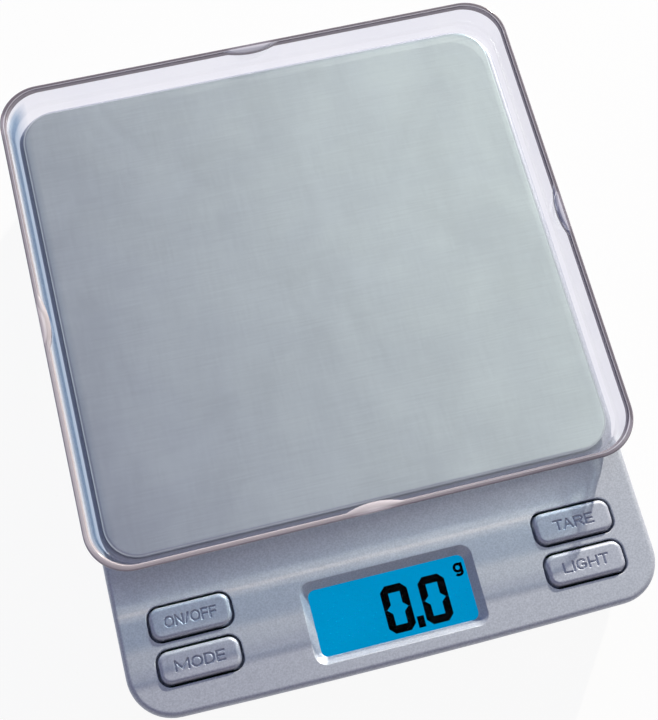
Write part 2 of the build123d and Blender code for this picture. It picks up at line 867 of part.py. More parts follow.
def plate_pads():
    x = carrier_width / 2 - pad_inset
    y = carrier_length / 2 - pad_inset
    return group([disc(pad_radius, carrier_top_z, plate_under_z, side * x, tray_y + end * y)
                  for side in (-1, 1) for end in (-1, 1)])


def platform_plate():
    plate = slab(plate_width, plate_length, plate_z - plate_skirt, plate_z, 0, tray_y, plate_corner)
    plate = fillet(top_edges(plate), plate_round)
    inside_width = plate_width - 2 * plate_sheet
    inside_length = plate_length - 2 * plate_sheet
    return plate - slab(inside_width, inside_length, plate_z - plate_skirt, plate_under_z, 0, tray_y,
                        plate_corner - plate_sheet)


def clear_tray():
    """Shallow clear tray with flared walls and a finger recess in the middle of each side."""
    at_plate = Pos(0, tray_y, 0)
    outside = flared_block(tray_width, tray_length, tray_corner, tray_flare, plate_z, rim_z)
    outside = fillet(bottom_edges(outside), tray_round)
    lean = tray_flare * (tray_height - tray_floor) / tray_height
    inside = flared_block(tray_width - 2 * tray_wall, tray_length - 2 * tray_wall, tray_corner - tray_wall,
                          lean, plate_z + tray_floor, rim_z)
    inside = fillet(bottom_edges(inside), tray_round)
    tray = outside - inside
    bend = (grip_chord ** 2 / 4 + grip_depth ** 2) / (2 * grip_depth)
    for half, along_x in ((tray_width / 2, True), (tray_length / 2, False)):
        centre = half - tray_wall - grip_depth + bend
        for side in (-1, 1):
            x, y = (side * centre, 0) if along_x else (0, side * centre)
            tray += disc(bend, plate_z + tray_floor, rim_z, x, y) & outside
            tray -= disc(bend - tray_wall, plate_z, rim_z - grip_rim, x, y)
    return at_plate * tray


# ---- wires ----

def tube(points, radius, bend):
    """A round wire along straight runs joined by arcs."""
    path = FilletPolyline(*points, radius=bend)
    start = Plane(origin=path @ 0, z_dir=path % 0)
    return sweep(start * Circle(radius), path=path)


def load_cell_wires():
    """Four signal wires from the load cell, along the floor, up behind the board to its header."""
    header_y = board_rear_y - header_inset
    wires = []
    for index in range(wire_count):
        shift = (index - (wire_count - 1) / 2) * wire_pitch
        x = shift - signal_header_x
        y = tray_y - shift
        end_x = -cell_beam_length / 2 - terminal_thickness
        lead_x = end_x - 3 * wire_bend / 2
        points = [(x, header_y, wire_rise_z), (x, wire_drop_y, wire_rise_z), (x, wire_drop_y, wire_floor_z),
                  (x, y, wire_floor_z), (lead_x, y, terminal_z), (end_x, y, terminal_z)]
        wires.append(tube(points, wire_radius, wire_bend / 2))
    return group(wires)


def battery_wires():
    """Two wires from the end contacts over the bay's roof to the board's power header."""
    header_y = board_rear_y - header_inset
    lay_z = bay_top_z + power_wire_radius + seat_gap
    wires = []
    for side in (-1, 1):
        contact_x = side * cell_places[-1]
        header_x = side * power_wire_pitch / 2
        points = [(contact_x, bay_rear_y - contact_sheet, lay_z), (contact_x, wire_drop_y + 10, lay_z),
                  (header_x, wire_drop_y + 5, lay_z), (header_x, wire_drop_y, lay_z),
                  (header_x, wire_drop_y, wire_rise_z), (header_x, header_y, wire_rise_z)]
        wires.append(tube(points, power_wire_radius, wire_bend))
    return group(wires)


# ---- every node, written one file each ----

nodes = {
    "upper_housing": upper_housing,
    "lower_housing": lower_housing,
    "housing_screws": housing_screws,
    "rubber_feet": rubber_feet,
    "display_lens": display_lens,
    "lcd_glass": lcd_glass,
    "lcd_backlight": lcd_backlight,
    "lcd_frame": lcd_frame,
    "elastomer_connectors": elastomer_connectors,
    "backlight_leds": backlight_leds,
    "main_board": main_board,
    "board_screws": board_screws,
    "processor_chip": processor_chip,
    "amplifier_chip": amplifier_chip,
    "board_components": board_components,
    "wire_headers": wire_headers,
    "tact_switches": tact_switches,
    "battery_cells": battery_cells,
    "battery_springs": battery_springs,
    "battery_contacts": battery_contacts,
    "battery_door": battery_door,
    "battery_door_pad": battery_door_pad,
    "load_cell": load_cell,
    "strain_gauges": strain_gauges,
    "gauge_terminal": gauge_terminal,
    "load_cell_spacer": load_cell_spacer,
    "bracket_spacer": bracket_spacer,
    "load_cell_screws": load_cell_screws,
    "bracket_screws": bracket_screws,
    "platform_bracket": platform_bracket,
    "overload_stops": overload_stops,
    "platform_carrier": platform_carrier,
    "carrier_screws": carrier_screws,
    "plate_pads": plate_pads,
    "platform_plate": platform_plate,
    "clear_tray": clear_tray,
    "load_cell_wires": load_cell_wires,
    "battery_wires": battery_wires,
}

shapes = {name: build() for name, build in nodes.items()}
for key_name, (key_centre_x, key_centre_y) in key_places.items():
    shapes[key_name + "_key"] = key_cap(key_centre_x, key_centre_y)
    shapes[key_name + "_plunger"] = switch_plunger(key_centre_x, key_centre_y)

for name, shape in shapes.items():
    export_step(shape, os.path.join("parts", name + ".step"))
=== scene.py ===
import math

import bpy
import numpy as np
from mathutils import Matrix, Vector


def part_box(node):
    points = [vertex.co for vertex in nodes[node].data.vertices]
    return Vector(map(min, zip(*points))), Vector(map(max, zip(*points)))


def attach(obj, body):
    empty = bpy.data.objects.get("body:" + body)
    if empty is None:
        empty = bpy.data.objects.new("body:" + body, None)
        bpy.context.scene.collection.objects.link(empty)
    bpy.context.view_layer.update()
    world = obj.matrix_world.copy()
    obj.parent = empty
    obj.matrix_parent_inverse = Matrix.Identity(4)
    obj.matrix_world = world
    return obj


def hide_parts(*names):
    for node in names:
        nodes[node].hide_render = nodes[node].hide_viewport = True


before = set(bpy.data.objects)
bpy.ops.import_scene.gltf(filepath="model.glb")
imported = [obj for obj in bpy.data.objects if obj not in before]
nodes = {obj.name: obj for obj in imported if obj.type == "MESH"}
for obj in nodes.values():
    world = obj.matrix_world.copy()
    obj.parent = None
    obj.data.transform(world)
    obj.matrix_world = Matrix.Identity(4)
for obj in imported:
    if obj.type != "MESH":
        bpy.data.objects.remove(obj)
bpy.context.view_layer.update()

mm = 0.001


# ---- Housing shells ----
# Two injection moulded ABS shells, screwed together from below. The upper one is sprayed in satin
# silver with a little aluminium flake, and the lower one is textured silver grey plastic.
# They meet in a fine seam that runs round all four sides.

seam_height = 13.0 * mm
seam_width = 0.22 * mm
seam_colour = (0.03, 0.03, 0.035)
paint_shade = (0.440, 0.478, 0.552)
paint_light = (0.560, 0.600, 0.680)
paint_roughness = 0.46
paint_metal = 0.4
flake_size = 0.45 * mm
flake_depth = 0.012 * mm
base_shade = (0.420, 0.440, 0.480)
base_light = (0.480, 0.500, 0.540)
base_roughness = 0.55
base_grain = 0.4 * mm
base_depth = 0.02 * mm
base_edge = 0.3 * mm
patch_grains = 60
smoother = 0.05
rougher = 0.07


def new_finish(name, colour, roughness, metallic=0.0, ior=1.5):
    """A material with one Principled shader, and its plain values on the sockets."""
    material = bpy.data.materials.new(name)
    material.use_nodes = True
    shader = material.node_tree.nodes["Principled BSDF"]
    shader.inputs["Base Color"].default_value = (*colour, 1)
    shader.inputs["Roughness"].default_value = roughness
    shader.inputs["Metallic"].default_value = metallic
    shader.inputs["IOR"].default_value = ior
    return material, shader


def add(material, kind, **values):
    """A node of that kind, with its properties set."""
    node = material.node_tree.nodes.new(kind)
    for name, value in values.items():
        setattr(node, name, value)
    return node


def link(material, start, end):
    """Joins one node's output to another's input."""
    material.node_tree.links.new(start, end)


def put(material, socket, value):
    """Joins an input to another node's output, or sets it to a plain number or colour."""
    if isinstance(value, bpy.types.NodeSocket):
        link(material, value, socket)
    elif isinstance(value, tuple):
        socket.default_value = (*value, 1)
    else:
        socket.default_value = value


def reckon(material, operation, first, second=0.0):
    """A sum on two values, each a plain number or another node's output."""
    node = add(material, "ShaderNodeMath", operation=operation)
    put(material, node.inputs[0], first)
    put(material, node.inputs[1], second)
    return node.outputs[0]


def own_place(material):
    """The surface point in the object's own coordinates, in metres."""
    return add(material, "ShaderNodeTexCoord").outputs["Object"]


def own_axes(material):
    """The same point as three numbers, X, Y and Z."""
    split = add(material, "ShaderNodeSeparateXYZ")
    link(material, own_place(material), split.inputs["Vector"])
    return split.outputs


def noise(material, size, detail=2.0, stretch=(1, 1, 1), turn=0.0, stray=0.0):
    """Noise on the object's own coordinates, with blobs of that size in metres."""
    spread = add(material, "ShaderNodeMapping")
    spread.inputs["Scale"].default_value = stretch
    spread.inputs["Rotation"].default_value[2] = turn
    grain = add(material, "ShaderNodeTexNoise")
    grain.inputs["Scale"].default_value = 1 / size
    grain.inputs["Detail"].default_value = detail
    grain.inputs["Distortion"].default_value = stray
    link(material, own_place(material), spread.inputs["Vector"])
    link(material, spread.outputs["Vector"], grain.inputs["Vector"])
    return grain.outputs["Fac"]


def blend_colours(material, amount, low, high, start=0.35, stop=0.65):
    """One colour up to a grey value of start, another from stop on, and an even change between."""
    ramp = add(material, "ShaderNodeValToRGB")
    ramp.color_ramp.elements[0].position = start
    ramp.color_ramp.elements[0].color = (*low, 1)
    ramp.color_ramp.elements[1].position = stop
    ramp.color_ramp.elements[1].color = (*high, 1)
    link(material, amount, ramp.inputs["Fac"])
    return ramp.outputs["Color"]


def mix_colours(material, share, first, second):
    """The first colour where the share is nothing, and the second where it is one."""
    node = add(material, "ShaderNodeMixRGB")
    put(material, node.inputs["Fac"], share)
    put(material, node.inputs["Color1"], first)
    put(material, node.inputs["Color2"], second)
    return node.outputs["Color"]


def remap(material, amount, low=0.0, high=1.0, start=0.0, stop=1.0):
    """A value that goes evenly from low to high as the amount goes from start to stop."""
    scale = add(material, "ShaderNodeMapRange")
    scale.inputs["From Min"].default_value = start
    scale.inputs["From Max"].default_value = stop
    scale.inputs["To Min"].default_value = low
    scale.inputs["To Max"].default_value = high
    link(material, amount, scale.inputs["Value"])
    return scale.outputs["Result"]


def relief(material, shader, height, depth, edge=0.0):
    """Raises the surface by a grey value times a depth in metres; edge softens sharp corners."""
    bump = add(material, "ShaderNodeBump")
    bump.inputs["Distance"].default_value = depth
    link(material, height, bump.inputs["Height"])
    if edge:
        corner = add(material, "ShaderNodeBevel", samples=6)
        corner.inputs["Radius"].default_value = edge
        link(material, corner.outputs["Normal"], bump.inputs["Normal"])
    link(material, bump.outputs["Normal"], shader.inputs["Normal"])


def dress(material, *names):
    """Gives CAD pieces this material."""
    for name in names:
        slots = nodes[name].material_slots
        for place in slots:
            place.material = material
        if not slots:
            nodes[name].data.materials.append(material)


def moulded(name, low, high, roughness, size, depth, metallic=0.0, edge=0.0):
    """Plastic with a fine spark texture of that size and depth, and patches that are a little
    smoother or rougher."""
    material, shader = new_finish(name, high, roughness, metallic)
    fine = noise(material, size, detail=3.0)
    link(material, blend_colours(material, fine, low, high), shader.inputs["Base Color"])
    broad = noise(material, patch_grains * size)
    link(material, remap(material, broad, roughness - smoother, roughness + rougher),
         shader.inputs["Roughness"])
    relief(material, shader, fine, depth, edge)
    return material


def seam_line(material):
    """Darkens a thin line round the shell: the points whose height is less than half the seam's
    width from the height where the two shells meet."""
    shader = material.node_tree.nodes["Principled BSDF"]
    colour = shader.inputs["Base Color"].links[0].from_socket
    above = reckon(material, "SUBTRACT", own_axes(material)["Z"], seam_height)
    on_seam = reckon(material, "LESS_THAN", reckon(material, "ABSOLUTE", above), seam_width / 2)
    link(material, mix_colours(material, on_seam, colour, seam_colour), shader.inputs["Base Color"])


silver_paint = moulded("silver_paint", paint_shade, paint_light, paint_roughness, flake_size, flake_depth,
                       metallic=paint_metal)
seam_line(silver_paint)
dress(silver_paint, "upper_housing")

base_moulding = moulded("base_moulding", base_shade, base_light, base_roughness, base_grain, base_depth,
                        edge=base_edge)
seam_line(base_moulding)
dress(base_moulding, "lower_housing", "battery_door")


# ---- Display ----
# A liquid crystal glass in a white moulded frame, lit in blue from behind, under a clear acrylic
# lens in the deck's window. Striped rubber joins the glass to the board. The figures are printed
# seven-segment bars with bevelled corners, and a small letter for grams.

glass_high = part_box("lcd_glass")[1]
lens_low, lens_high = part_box("display_lens")
display_middle = (lens_low.y + lens_high.y) / 2
lens_gap = 0.12 * mm
lens_edge = 0.15 * mm
lens_corner = 2.0 * mm
lens_ior = 1.04
ink_height = 0.04 * mm
digit_width = 7.5 * mm
digit_height = 13.0 * mm
digit_stroke = 2.15 * mm
digit_bevel = 1.6 * mm
digit_places = (1.1 * mm, 11.6 * mm)
digit_shift = -0.95 * mm
digit_notch = 1.2 * mm
digit_join = 0.85 * mm
digit_gap = 0.03 * mm
point_width = 1.95 * mm
point_height = 3.1 * mm
point_place = 6.35 * mm
unit_place = (19.75 * mm, 5.7 * mm)
unit_bowl = (0.98 * mm, 0.98 * mm)
unit_stroke = 0.78 * mm
glass_dark = (0.0, 0.01, 0.02)
lit_blue = (0.0, 0.258, 0.535)
lit_blue_edge = (0.0, 0.280, 0.575)
glow_size = 18 * mm
frame_shade = (0.66, 0.66, 0.64)
frame_light = (0.76, 0.76, 0.74)
rubber_black = (0.02, 0.02, 0.02)
rubber_grey = (0.45, 0.45, 0.48)
rubber_stripes = 1500
ink_shade = (0.0015, 0.0015, 0.002)
ink_light = (0.004, 0.004, 0.005)


def stripes(material, scale, way, stray=0.0):
    """Soft parallel bands across the object's own X or Y axis, finer as the scale grows; stray
    bends them."""
    bands = add(material, "ShaderNodeTexWave", wave_type="BANDS", bands_direction=way)
    bands.inputs["Scale"].default_value = scale
    bands.inputs["Distortion"].default_value = stray
    bands.inputs["Detail"].default_value = 0
    link(material, own_place(material), bands.inputs["Vector"])
    return bands.outputs["Color"]


def quarter(start, stop, steps, radius, out, up):
    """Points of a circle about (out, up) between two angles in degrees, as (outwards, height) pairs."""
    angle = np.radians(np.linspace(start, stop, steps))
    return np.stack((out + radius * np.cos(angle), up + radius * np.sin(angle)), 1)


def outline(width, length, corner, arc_steps, shares, end_shares=None):
    """A rounded rectangle as columns of points: at each corner a quarter circle about the corner's
    centre, then a straight run to the next corner's centre, always one radius out along the normal.
    The runs' points lie at these shares of their length; end_shares are for the two along Y."""
    signs = np.array([(1, 1), (-1, 1), (-1, -1), (1, -1)], float)
    centres = signs * (width / 2 - corner, length / 2 - corner)
    points = []
    normals = []
    along = []
    for index in range(4):
        steps = shares if end_shares is None or index % 2 == 0 else end_shares
        angle = np.radians(90 * index + np.linspace(0, 90, arc_steps, endpoint=False))
        arc = np.stack((np.cos(angle), np.sin(angle)), 1)
        end = np.radians(90 * (index + 1))
        normal = np.array((math.cos(end), math.sin(end)))
        start, stop = centres[index], centres[(index + 1) % 4]
        run = start + (stop - start) * steps[:, None]
        points += [centres[index] + corner * arc, run + corner * normal]
        normals += [arc, np.repeat(normal[None, :], len(steps), 0)]
        middle = np.linalg.norm(stop - start)
        along += [np.full(arc_steps, 1.0), (steps - 0.5) * middle]
    return np.concatenate(points), np.concatenate(normals), np.concatenate(along)


def closed_surface(name, rows, materials, low_cap=True, finish=None):
    """A grid of points, rows by columns, whose columns close in a ring; each cell is a face, and a
    flat cap closes the last row and, unless it is a line, the first. Faces are turned so that the
    volume is positive. A row's finish is the number of the material between it and the next row."""
    rows = np.asarray(rows, float)
    count, ring = rows.shape[:2]
    index = np.arange(count * ring).reshape(count, ring)
    after = np.roll(index, -1, 1)
    quads = np.stack((index[:-1], after[:-1], after[1:], index[1:]), -1).reshape(-1, 4)
    faces = quads.tolist()
    if low_cap:
        faces.append(index[0][::-1].tolist())
    faces.append(index[-1].tolist())
    points = rows.reshape(-1, 3)
    corners = points[quads]
    volume = 0.0
    for second, third in ((1, 2), (2, 3)):
        normal = np.cross(corners[:, second], corners[:, third])
        volume += np.einsum("ij,ij->i", corners[:, 0], normal).sum()
    for cap, way in ((0, -1), (-1, 1)):
        ends = rows[cap]
        volume += way * np.cross(ends, np.roll(ends, -1, 0))[:, 2].sum() * ends[0, 2]
    if volume < 0:
        faces = [face[::-1] for face in faces]
    mesh = bpy.data.meshes.new(name)
    mesh.from_pydata(points.tolist(), [], faces)
    mesh.polygons.foreach_set("use_smooth", np.ones(len(faces), bool))
    for material in materials:
        mesh.materials.append(material)
    if finish is not None:
        of_face = np.zeros(len(faces), np.int32)
        of_face[:len(quads)] = np.repeat(np.asarray(finish)[:count - 1], ring)
        mesh.polygons.foreach_set("material_index", of_face)
    mesh.update()
    piece = bpy.data.objects.new(name, mesh)
    bpy.context.scene.collection.objects.link(piece)
    return piece


def rounded_slab(name, width, length, corner, edge, low, high, middle, material):
    """A flat plate with rounded corners in plan and a quarter round along both edges."""
    section = np.concatenate((quarter(-90, 0, 5, edge, -edge, low + edge),
                              quarter(0, 90, 5, edge, -edge, high - edge)))
    shares = np.linspace(0, 1, 6, endpoint=False)
    rows = []
    for out, up in section:
        plan = outline(width + 2 * out, length + 2 * out, corner + out, 8, shares)[0]
        rows.append(np.column_stack((plan[:, 0], plan[:, 1] + middle, np.full(len(plan), up))))
    return closed_surface(name, rows, [material])


def half_nought():
    """The upper half of a segment nought about its own middle, as corners in order: three bars with
    bevelled outer corners, whose lower ends slope up from near the outer edge to the inner one."""
    half, top = digit_width / 2, digit_height / 2
    hollow = half - digit_stroke
    foot = digit_gap / 2
    mirror = (-1, 1)
    outer = np.array([(half - digit_join, foot), (half, foot), (half, top - digit_bevel),
                      (half - digit_bevel, top)])
    inner = np.array([(hollow, top - digit_stroke), (hollow, foot + digit_notch)])
    return np.concatenate((outer, outer[::-1] * mirror, inner[::-1] * mirror, inner))


def ribbon(path, width):
    """A stroke of even width along a path of points, as two rows of points either side of it."""
    run = np.gradient(path, axis=0)
    side = np.stack((-run[:, 1], run[:, 0]), 1) / np.linalg.norm(run, axis=1)[:, None]
    return path + side * width / 2, path - side * width / 2


def unit_strokes():
    """The small letter: an oval bowl, and a stem at its right that hooks back under it."""
    wide, high = unit_bowl
    turn = np.linspace(0, 2 * np.pi, 33)
    bowl = np.stack((wide * np.cos(turn), high * np.sin(turn)), 1)
    hook = np.linspace(0, -0.8 * np.pi, 15)
    drop = np.stack((wide * np.cos(hook), -1.35 * high + 0.7 * high * np.sin(hook)), 1)
    stem = np.concatenate((np.array([(wide, high * 1.3), (wide, 0.0)]), drop))
    return bowl, stem


def inked(name, outlines, strips, low):
    """Flat figures a little thick. Each is a closed line of corners at two heights, with caps below
    and above and quads between the two round its border. An outline's cap is one face; a strip's is
    a run of quads from one of its sides across to the other."""
    figures = [(corners, np.arange(len(corners))[None, :]) for corners in outlines]
    for left, right in strips:
        border = np.concatenate((right, left[::-1]))
        step = np.arange(len(right) - 1)
        back = len(border) - 1 - step
        figures.append((border, np.stack((step, step + 1, back - 1, back), 1)))
    points = []
    faces = []
    start = 0
    for border, caps in figures:
        count = len(border)
        here = np.arange(count)
        after = np.roll(here, -1)
        sides = np.stack((here, after, after + count, here + count), 1)
        points += [np.column_stack((border, np.full(count, up))) for up in (low, low + ink_height)]
        for group in (caps[:, ::-1], caps + count, sides):
            faces += (start + group).tolist()
        start += 2 * count
    mesh = bpy.data.meshes.new(name)
    mesh.from_pydata(np.concatenate(points).tolist(), [], faces)
    mesh.update()
    piece = bpy.data.objects.new(name, mesh)
    bpy.context.scene.collection.objects.link(piece)
    return piece


lcd_blue, shader = new_finish("lcd_blue", glass_dark, roughness=0.5)
glow = noise(lcd_blue, glow_size, detail=1.0)
link(lcd_blue, blend_colours(lcd_blue, glow, lit_blue, lit_blue_edge, start=0.3, stop=0.7),
     shader.inputs["Emission Color"])
shader.inputs["Emission Strength"].default_value = 1.0
shader.inputs["Specular IOR Level"].default_value = 0.0
dress(lcd_blue, "lcd_glass", "lcd_backlight", "backlight_leds")

white_frame = moulded("white_frame", frame_shade, frame_light, roughness=0.5, size=0.5 * mm,
                      depth=0.01 * mm)
dress(white_frame, "lcd_frame")

striped_rubber, shader = new_finish("striped_rubber", rubber_grey, roughness=0.6)
link(striped_rubber, blend_colours(striped_rubber, stripes(striped_rubber, rubber_stripes, "X"),
                                   rubber_black, rubber_grey, start=0.45, stop=0.55),
     shader.inputs["Base Color"])
dress(striped_rubber, "elastomer_connectors")

acrylic, shader = new_finish("clear_acrylic", (1, 1, 1), roughness=0.05, ior=lens_ior)
shader.inputs["Transmission Weight"].default_value = 1.0
relief(acrylic, shader, noise(acrylic, size=0.3 * mm), depth=0.002 * mm)
lens = rounded_slab("lens", lens_high.x - lens_low.x, lens_high.y - lens_low.y, lens_corner, lens_edge,
                    lens_low.z + lens_gap, lens_high.z, display_middle, acrylic)
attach(lens, "housing")
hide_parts("display_lens")

digit_line = display_middle + digit_shift
upper_half = half_nought()
lower_half = (upper_half * (1, -1))[::-1]
figures = []
for place in digit_places:
    figures += [half + (place, digit_line) for half in (upper_half, lower_half)]
point = np.array([(1, -1), (1, 1), (-1, 1), (-1, -1)]) * (point_width / 2, point_height / 2)
figures.append(point + (point_place, digit_line - digit_height / 2 + point_height / 2))
unit_shift = (unit_place[0], display_middle + unit_place[1])
unit_strips = [ribbon(path + unit_shift, unit_stroke) for path in unit_strokes()]

ink = moulded("segment_ink", ink_shade, ink_light, roughness=0.6, size=0.2 * mm, depth=0.002 * mm)
ink.node_tree.nodes["Principled BSDF"].inputs["Specular IOR Level"].default_value = 0.0
digits = inked("display_figures", figures, unit_strips, glass_high.z)
digits.data.materials.append(ink)
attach(digits, "housing")


# ---- Keys ----
# Four hollow moulded caps, sprayed like the deck, with a stem each on a small switch and a flange
# at both ends that stops under the deck. Their words are pressed into the top as rounded grooves.

key_shade = (0.440, 0.478, 0.560)
key_light = (0.560, 0.600, 0.690)
key_roughness = 0.40
key_metal = 0.3
key_flake_depth = 0.008 * mm
key_width = 21.6 * mm
key_corner = 2.8 * mm
key_round = 1.15 * mm
key_wall = 1.2 * mm
cap_height = 4.35 * mm
flange_thickness = 1.0 * mm
flange_corner = 0.2 * mm
flange_step = 0.02 * mm
stem_radius = 2.0 * mm
stem_step = 0.01 * mm
word_height = 2.5 * mm
word_stroke = 0.74 * mm
word_depth = 0.46 * mm
letter_gap = 0.36
close_pairs = {"TA": 0.22}
key_words = {"on_off": ("ON/OFF", 13.6 * mm), "mode": ("MODE", 13.0 * mm), "tare": ("TARE", 10.9 * mm),
             "light": ("LIGHT", 12.6 * mm)}
key_arc_steps = 22
key_side_steps = 150
key_end_steps = 12
key_top_rings = 46


def arc(x, y, wide, high, start, stop, steps=14):
    """Part of an oval about (x, y) between two angles in degrees."""
    angle = np.radians(np.linspace(start, stop, steps))
    return np.stack((x + wide * np.cos(angle), y + high * np.sin(angle)), 1).tolist()


letters = {
    "O": (1.15, [arc(0.5, 0.5, 0.5, 0.5, 0, 360, 26)]),
    "N": (0.95, [[(0, 0), (0, 1), (1, 0), (1, 1)]]),
    "/": (0.45, [[(0, 0), (1, 1)]]),
    "F": (0.80, [[(1, 1), (0, 1), (0, 0)], [(0, 0.5), (0.9, 0.5)]]),
    "M": (1.50, [[(0, 0), (0, 1), (0.5, 0.15), (1, 1), (1, 0)]]),
    "D": (1.0, [[(0, 0), (0, 1), (0.5, 1)] + arc(0.5, 0.5, 0.5, 0.5, 90, -90) + [(0, 0)]]),
    "E": (0.85, [[(1, 1), (0, 1), (0, 0), (1, 0)], [(0, 0.5), (0.9, 0.5)]]),
    "T": (0.95, [[(0, 1), (1, 1)], [(0.5, 1), (0.5, 0)]]),
    "A": (1.05, [[(0, 0), (0.5, 1), (1, 0)], [(0.18, 0.35), (0.82, 0.35)]]),
    "R": (0.95, [[(0, 0), (0, 1), (0.6, 1)] + arc(0.6, 0.76, 0.4, 0.24, 90, -90) + [(0, 0.52)],
                 [(0.5, 0.52), (1, 0)]]),
    "L": (0.80, [[(0, 1), (0, 0), (1, 0)]]),
    "I": (0.02, [[(0, 0), (0, 1)]]),
    "G": (1.05, [arc(0.5, 0.5, 0.5, 0.5, 42, 322, 20) + [(0.97, 0.46), (0.58, 0.46)]]),
    "H": (0.95, [[(0, 0), (0, 1)], [(1, 0), (1, 1)], [(0, 0.5), (1, 0.5)]]),
}


def word_segments(word, width):
    """The straight pieces of a word's strokes about its own middle. Each letter is drawn in a unit
    square, stretched to its own width and set after the one before it with a gap."""
    gaps = [letter_gap - close_pairs.get(word[k:k + 2], 0) for k in range(len(word) - 1)] + [0]
    total = sum(letters[letter][0] for letter in word) + sum(gaps)
    unit = width / total
    segments = []
    start = -width / 2
    for letter, gap in zip(word, gaps):
        wide, strokes = letters[letter]
        for stroke in strokes:
            points = np.array(stroke, float) * (wide * unit, word_height) + (start, -word_height / 2)
            segments.append(np.concatenate((points[:-1], points[1:]), 1))
        start += (wide + gap) * unit
    segments = np.concatenate(segments)
    return segments[np.linalg.norm(segments[:, 2:] - segments[:, :2], axis=1) > 0]


def groove(points, segments):
    """Depth of the pressed strokes at each point: the distance to the nearest stroke, through a
    cosine that is full on the stroke's line and nothing at its edge."""
    start, run = segments[:, :2], segments[:, 2:] - segments[:, :2]
    away = points[:, None, :] - start
    share = np.clip((away * run).sum(2) / (run ** 2).sum(1), 0, 1)
    gap = np.linalg.norm(away - run * share[..., None], axis=2).min(1)
    inside = np.clip(gap / (word_stroke / 2), 0, 1)
    return word_depth * (0.5 + 0.5 * np.cos(np.pi * inside))


def key_rows(low, high, segments):
    """Rings of the cap: from a line along the middle of its top out to the edge, over the quarter
    round, down the side to the flange, in under it, up the hollow and down the stem."""
    length = high.y - low.y
    flange_width = high.x - low.x
    middle = np.array(((low.x + high.x) / 2, (low.y + high.y) / 2))
    flange_low = high.z - cap_height
    flange_high = flange_low + flange_thickness
    sides = np.linspace(0, 1, key_side_steps, endpoint=False)
    ends = np.linspace(0, 1, key_end_steps, endpoint=False)

    def ring(wide, deep, corner):
        """The cap's outline at one height, with most of its points along the word."""
        return outline(wide, deep, corner, key_arc_steps, sides, ends)[0]

    edge = ring(key_width - 2 * key_round, length - 2 * key_round, key_corner - key_round)
    reach = (key_width - length) / 2
    spine = np.column_stack((np.clip(edge[:, 0], -reach, reach), np.zeros(len(edge))))
    rows = []
    for share in np.linspace(0.0, 1.0, key_top_rings):
        plan = spine + (edge - spine) * share
        rows.append(np.column_stack((plan + middle, high.z - groove(plan, segments))))
    for out, up in quarter(90, 0, 9, key_round, -key_round, high.z - key_round)[1:]:
        plan = ring(key_width + 2 * out, length + 2 * out, key_corner + out)
        rows.append(np.column_stack((plan + middle, np.full(len(plan), up))))
    hollow = (key_width - 2 * key_wall, length - 2 * key_wall, key_corner - key_wall)
    stem = (2 * stem_radius, 2 * stem_radius, stem_radius)
    roof = high.z - key_wall
    steps = ((key_width, length, key_corner, flange_high),
             (flange_width, length, flange_corner, flange_high - flange_step),
             (flange_width, length, flange_corner, flange_low),
             (*hollow, flange_low), (*hollow, roof), (*stem, roof - stem_step), (*stem, low.z))
    for wide, deep, corner, up in steps:
        plan = ring(wide, deep, corner)
        rows.append(np.column_stack((plan + middle, np.full(len(plan), up))))
    return rows


key_paint = moulded("key_paint", key_shade, key_light, key_roughness, flake_size, key_flake_depth,
                    metallic=key_metal)

for key, (word, word_width) in key_words.items():
    low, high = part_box(key + "_key")
    cap = closed_surface(key + "_cap", key_rows(low, high, word_segments(word, word_width)), [key_paint],
                         low_cap=False)
    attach(cap, key + "_key")
    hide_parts(key + "_key")


# ---- Board and its parts ----
# A glass fibre board in green solder mask hangs under the deck on bosses. It carries the key
# switches above, and the chips, capacitors and crystal below.

mask_shade = (0.010, 0.085, 0.035)
mask_light = (0.020, 0.170, 0.065)
track_scale = 260
track_stray = 6
track_size = 3.5 * mm
chip_shade = (0.012, 0.012, 0.013)
chip_light = (0.028, 0.028, 0.030)
ivory_shade = (0.66, 0.63, 0.52)
ivory_light = (0.76, 0.73, 0.62)
cover_metal = (0.55, 0.55, 0.56)
plunger_shade = (0.015, 0.015, 0.015)
plunger_light = (0.03, 0.03, 0.03)

board_mask, shader = new_finish("solder_mask", mask_light, roughness=0.28)
link(board_mask, blend_colours(board_mask, stripes(board_mask, track_scale, "X", track_stray),
                               mask_shade, mask_light, start=0.48, stop=0.54), shader.inputs["Base Color"])
swell = noise(board_mask, track_size, detail=0.0, turn=math.radians(45))
relief(board_mask, shader, swell, depth=0.01 * mm)
shader.inputs["Coat Weight"].default_value = 0.5
dress(board_mask, "main_board", "gauge_terminal")

chip_black = moulded("chip_black", chip_shade, chip_light, roughness=0.5, size=0.2 * mm,
                     depth=0.006 * mm)
dress(chip_black, "processor_chip", "amplifier_chip", "board_components")

ivory_nylon = moulded("ivory_nylon", ivory_shade, ivory_light, roughness=0.45, size=0.5 * mm,
                      depth=0.01 * mm, edge=0.2 * mm)
dress(ivory_nylon, "wire_headers")

switch_cover, shader = new_finish("switch_cover", cover_metal, roughness=0.32, metallic=1.0)
switch_grain = noise(switch_cover, size=0.4 * mm, stretch=(1, 9, 1))
link(switch_cover, remap(switch_cover, switch_grain, low=0.25, high=0.42), shader.inputs["Roughness"])
relief(switch_cover, shader, switch_grain, depth=0.006 * mm, edge=0.15 * mm)
dress(switch_cover, "tact_switches")

plunger_black = moulded("plunger_black", plunger_shade, plunger_light, roughness=0.45, size=0.3 * mm,
                        depth=0.005 * mm)
dress(plunger_black, "on_off_plunger", "mode_plunger", "tare_plunger", "light_plunger")


# ---- Batteries ----
# Four small dry cells in dark sleeves with a golden end lie side by side under the display. Nickel
# plated sheet contacts and coil springs join them in series. Foam on the door presses on the cells.

